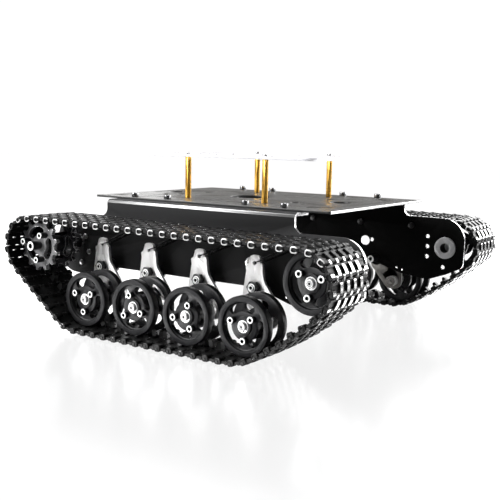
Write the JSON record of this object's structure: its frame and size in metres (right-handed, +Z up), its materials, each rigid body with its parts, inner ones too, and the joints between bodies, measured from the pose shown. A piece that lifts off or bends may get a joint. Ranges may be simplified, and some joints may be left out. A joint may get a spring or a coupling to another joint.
{
  "type": "tracked tank chassis",
  "caption": "Tracked robot chassis: folded side plates, flat top deck, clear upper deck on brass standoffs, sprung bell-crank arms, twin-disc road wheels, hinged steel tracks.",
  "frame": {"origin": "on the ground, under the middle of the vehicle's bounding box", "axes": "+X forward towards the idlers, +Y to the vehicle's left, +Z up"},
  "size_m": [0.3571, 0.364, 0.1646],
  "materials": {
    "black_coat": "fine-grain powder coat",
    "deck_coat": "semi-gloss dark grey anodised",
    "clear_acrylic": "clear, polished",
    "brass": "turned, bright",
    "bright_screw": "bright steel",
    "black_screw": "black oxide, bright at the rim",
    "bright_steel": "ground",
    "wheel_black": "satin black anodised",
    "sprocket_grey": "grey anodised",
    "arm_aluminium": "brushed",
    "spring_steel": "dark oiled wire",
    "track_steel": "glossy black",
    "motor_case": "plated"
  },
  "bodies": {
    "chassis": {"top_plate": "deck_coat", "clear_deck": "clear_acrylic", "brass_standoffs": "brass", "deck_screws": "bright_screw", "flange_screws": "bright_screw", "arm_pivots": "black_screw", "spring_anchors": "black_screw", "right_side_plate": "black_coat", "right_gear_motor": "motor_case", "right_motor_bracket": "black_coat", "right_idler_axle": "bright_steel", "right_track_links": "track_steel", "right_track_pins": "bright_steel", "right_spring_1": "spring_steel", "right_spring_2": "spring_steel", "right_spring_3": "spring_steel", "right_spring_4": "spring_steel", "left_side_plate": "black_coat", "left_gear_motor": "motor_case", "left_motor_bracket": "black_coat", "left_idler_axle": "bright_steel", "left_track_links": "track_steel", "left_track_pins": "bright_steel", "left_spring_1": "spring_steel", "left_spring_2": "spring_steel", "left_spring_3": "spring_steel", "left_spring_4": "spring_steel"},
    "right_drive_sprocket": {"right_sprocket": "sprocket_grey", "right_sprocket_hardware": "black_screw"},
    "right_idler_wheel": {"right_idler": "wheel_black", "right_idler_hardware": "black_screw"},
    "right_swing_arm_1": {"right_arm_1": "arm_aluminium"},
    "right_road_wheel_1": {"right_wheel_1": "wheel_black", "right_wheel_hardware_1": "black_screw"},
    "right_swing_arm_2": {"right_arm_2": "arm_aluminium"},
    "right_road_wheel_2": {"right_wheel_2": "wheel_black", "right_wheel_hardware_2": "black_screw"},
    "right_swing_arm_3": {"right_arm_3": "arm_aluminium"},
    "right_road_wheel_3": {"right_wheel_3": "wheel_black", "right_wheel_hardware_3": "black_screw"},
    "right_swing_arm_4": {"right_arm_4": "arm_aluminium"},
    "right_road_wheel_4": {"right_wheel_4": "wheel_black", "right_wheel_hardware_4": "black_screw"},
    "left_drive_sprocket": {"left_sprocket": "sprocket_grey", "left_sprocket_hardware": "black_screw"},
    "left_idler_wheel": {"left_idler": "wheel_black", "left_idler_hardware": "black_screw"},
    "left_swing_arm_1": {"left_arm_1": "arm_aluminium"},
    "left_road_wheel_1": {"left_wheel_1": "wheel_black", "left_wheel_hardware_1": "black_screw"},
    "left_swing_arm_2": {"left_arm_2": "arm_aluminium"},
    "left_road_wheel_2": {"left_wheel_2": "wheel_black", "left_wheel_hardware_2": "black_screw"},
    "left_swing_arm_3": {"left_arm_3": "arm_aluminium"},
    "left_road_wheel_3": {"left_wheel_3": "wheel_black", "left_wheel_hardware_3": "black_screw"},
    "left_swing_arm_4": {"left_arm_4": "arm_aluminium"},
    "left_road_wheel_4": {"left_wheel_4": "wheel_black", "left_wheel_hardware_4": "black_screw"}
  },
  "joints": [
    {"name": "right_sprocket_spin", "type": "hinge", "parent": "chassis", "child": "right_drive_sprocket", "pos_m": [-0.1475, -0.1503, 0.0748], "axis": [0, 1, 0], "continuous": true},
    {"name": "right_idler_spin", "type": "hinge", "parent": "chassis", "child": "right_idler_wheel", "pos_m": [0.15, -0.1503, 0.0719], "axis": [0, 1, 0], "continuous": true},
    {"name": "right_arm_1_swing", "type": "hinge", "parent": "chassis", "child": "right_swing_arm_1", "pos_m": [-0.1031, -0.1235, 0.0547], "axis": [0, -1, 0], "range_deg": [0, 15], "stiffness_Nm_per_rad": 0.6, "springref_deg": -20.05, "deforming": ["right_spring_1"]},
    {"name": "right_wheel_1_spin", "type": "hinge", "parent": "right_swing_arm_1", "child": "right_road_wheel_1", "pos_m": [-0.0876, -0.1503, 0.0298], "axis": [0, 1, 0], "continuous": true},
    {"name": "right_arm_2_swing", "type": "hinge", "parent": "chassis", "child": "right_swing_arm_2", "pos_m": [-0.0443, -0.1235, 0.0547], "axis": [0, -1, 0], "range_deg": [0, 15], "stiffness_Nm_per_rad": 0.6, "springref_deg": -20.05, "deforming": ["right_spring_2"]},
    {"name": "right_wheel_2_spin", "type": "hinge", "parent": "right_swing_arm_2", "child": "right_road_wheel_2", "pos_m": [-0.0288, -0.1503, 0.0298], "axis": [0, 1, 0], "continuous": true},
    {"name": "right_arm_3_swing", "type": "hinge", "parent": "chassis", "child": "right_swing_arm_3", "pos_m": [0.0145, -0.1235, 0.0547], "axis": [0, -1, 0], "range_deg": [0, 15], "stiffness_Nm_per_rad": 0.6, "springref_deg": -20.05, "deforming": ["right_spring_3"]},
    {"name": "right_wheel_3_spin", "type": "hinge", "parent": "right_swing_arm_3", "child": "right_road_wheel_3", "pos_m": [0.03, -0.1503, 0.0298], "axis": [0, 1, 0], "continuous": true},
    {"name": "right_arm_4_swing", "type": "hinge", "parent": "chassis", "child": "right_swing_arm_4", "pos_m": [0.0733, -0.1235, 0.0547], "axis": [0, -1, 0], "range_deg": [0, 15], "stiffness_Nm_per_rad": 0.6, "springref_deg": -20.05, "deforming": ["right_spring_4"]},
    {"name": "right_wheel_4_spin", "type": "hinge", "parent": "right_swing_arm_4", "child": "right_road_wheel_4", "pos_m": [0.0888, -0.1503, 0.0298], "axis": [0, 1, 0], "continuous": true},
    {"name": "left_sprocket_spin", "type": "hinge", "parent": "chassis", "child": "left_drive_sprocket", "pos_m": [-0.1475, 0.1503, 0.0748], "axis": [0, 1, 0], "continuous": true},
    {"name": "left_idler_spin", "type": "hinge", "parent": "chassis", "child": "left_idler_wheel", "pos_m": [0.15, 0.1503, 0.0719], "axis": [0, 1, 0], "continuous": true},
    {"name": "left_arm_1_swing", "type": "hinge", "parent": "chassis", "child": "left_swing_arm_1", "pos_m": [-0.1031, 0.1235, 0.0547], "axis": [0, -1, 0], "range_deg": [0, 15], "stiffness_Nm_per_rad": 0.6, "springref_deg": -20.05, "deforming": ["left_spring_1"]},
    {"name": "left_wheel_1_spin", "type": "hinge", "parent": "left_swing_arm_1", "child": "left_road_wheel_1", "pos_m": [-0.0876, 0.1503, 0.0298], "axis": [0, 1, 0], "continuous": true},
    {"name": "left_arm_2_swing", "type": "hinge", "parent": "chassis", "child": "left_swing_arm_2", "pos_m": [-0.0443, 0.1235, 0.0547], "axis": [0, -1, 0], "range_deg": [0, 15], "stiffness_Nm_per_rad": 0.6, "springref_deg": -20.05, "deforming": ["left_spring_2"]},
    {"name": "left_wheel_2_spin", "type": "hinge", "parent": "left_swing_arm_2", "child": "left_road_wheel_2", "pos_m": [-0.0288, 0.1503, 0.0298], "axis": [0, 1, 0], "continuous": true},
    {"name": "left_arm_3_swing", "type": "hinge", "parent": "chassis", "child": "left_swing_arm_3", "pos_m": [0.0145, 0.1235, 0.0547], "axis": [0, -1, 0], "range_deg": [0, 15], "stiffness_Nm_per_rad": 0.6, "springref_deg": -20.05, "deforming": ["left_spring_3"]},
    {"name": "left_wheel_3_spin", "type": "hinge", "parent": "left_swing_arm_3", "child": "left_road_wheel_3", "pos_m": [0.03, 0.1503, 0.0298], "axis": [0, 1, 0], "continuous": true},
    {"name": "left_arm_4_swing", "type": "hinge", "parent": "chassis", "child": "left_swing_arm_4", "pos_m": [0.0733, 0.1235, 0.0547], "axis": [0, -1, 0], "range_deg": [0, 15], "stiffness_Nm_per_rad": 0.6, "springref_deg": -20.05, "deforming": ["left_spring_4"]},
    {"name": "left_wheel_4_spin", "type": "hinge", "parent": "left_swing_arm_4", "child": "left_road_wheel_4", "pos_m": [0.0888, 0.1503, 0.0298], "axis": [0, 1, 0], "continuous": true}
  ],
  "couplings": [
    {"joint": "right_idler_spin", "follows": "right_sprocket_spin", "ratio": 1.0476},
    {"joint": "right_wheel_1_spin", "follows": "right_sprocket_spin", "ratio": 1.0476},
    {"joint": "right_wheel_2_spin", "follows": "right_sprocket_spin", "ratio": 1.0476},
    {"joint": "right_wheel_3_spin", "follows": "right_sprocket_spin", "ratio": 1.0476},
    {"joint": "right_wheel_4_spin", "follows": "right_sprocket_spin", "ratio": 1.0476},
    {"joint": "left_idler_spin", "follows": "left_sprocket_spin", "ratio": 1.0476},
    {"joint": "left_wheel_1_spin", "follows": "left_sprocket_spin", "ratio": 1.0476},
    {"joint": "left_wheel_2_spin", "follows": "left_sprocket_spin", "ratio": 1.0476},
    {"joint": "left_wheel_3_spin", "follows": "left_sprocket_spin", "ratio": 1.0476},
    {"joint": "left_wheel_4_spin", "follows": "left_sprocket_spin", "ratio": 1.0476}
  ]
}
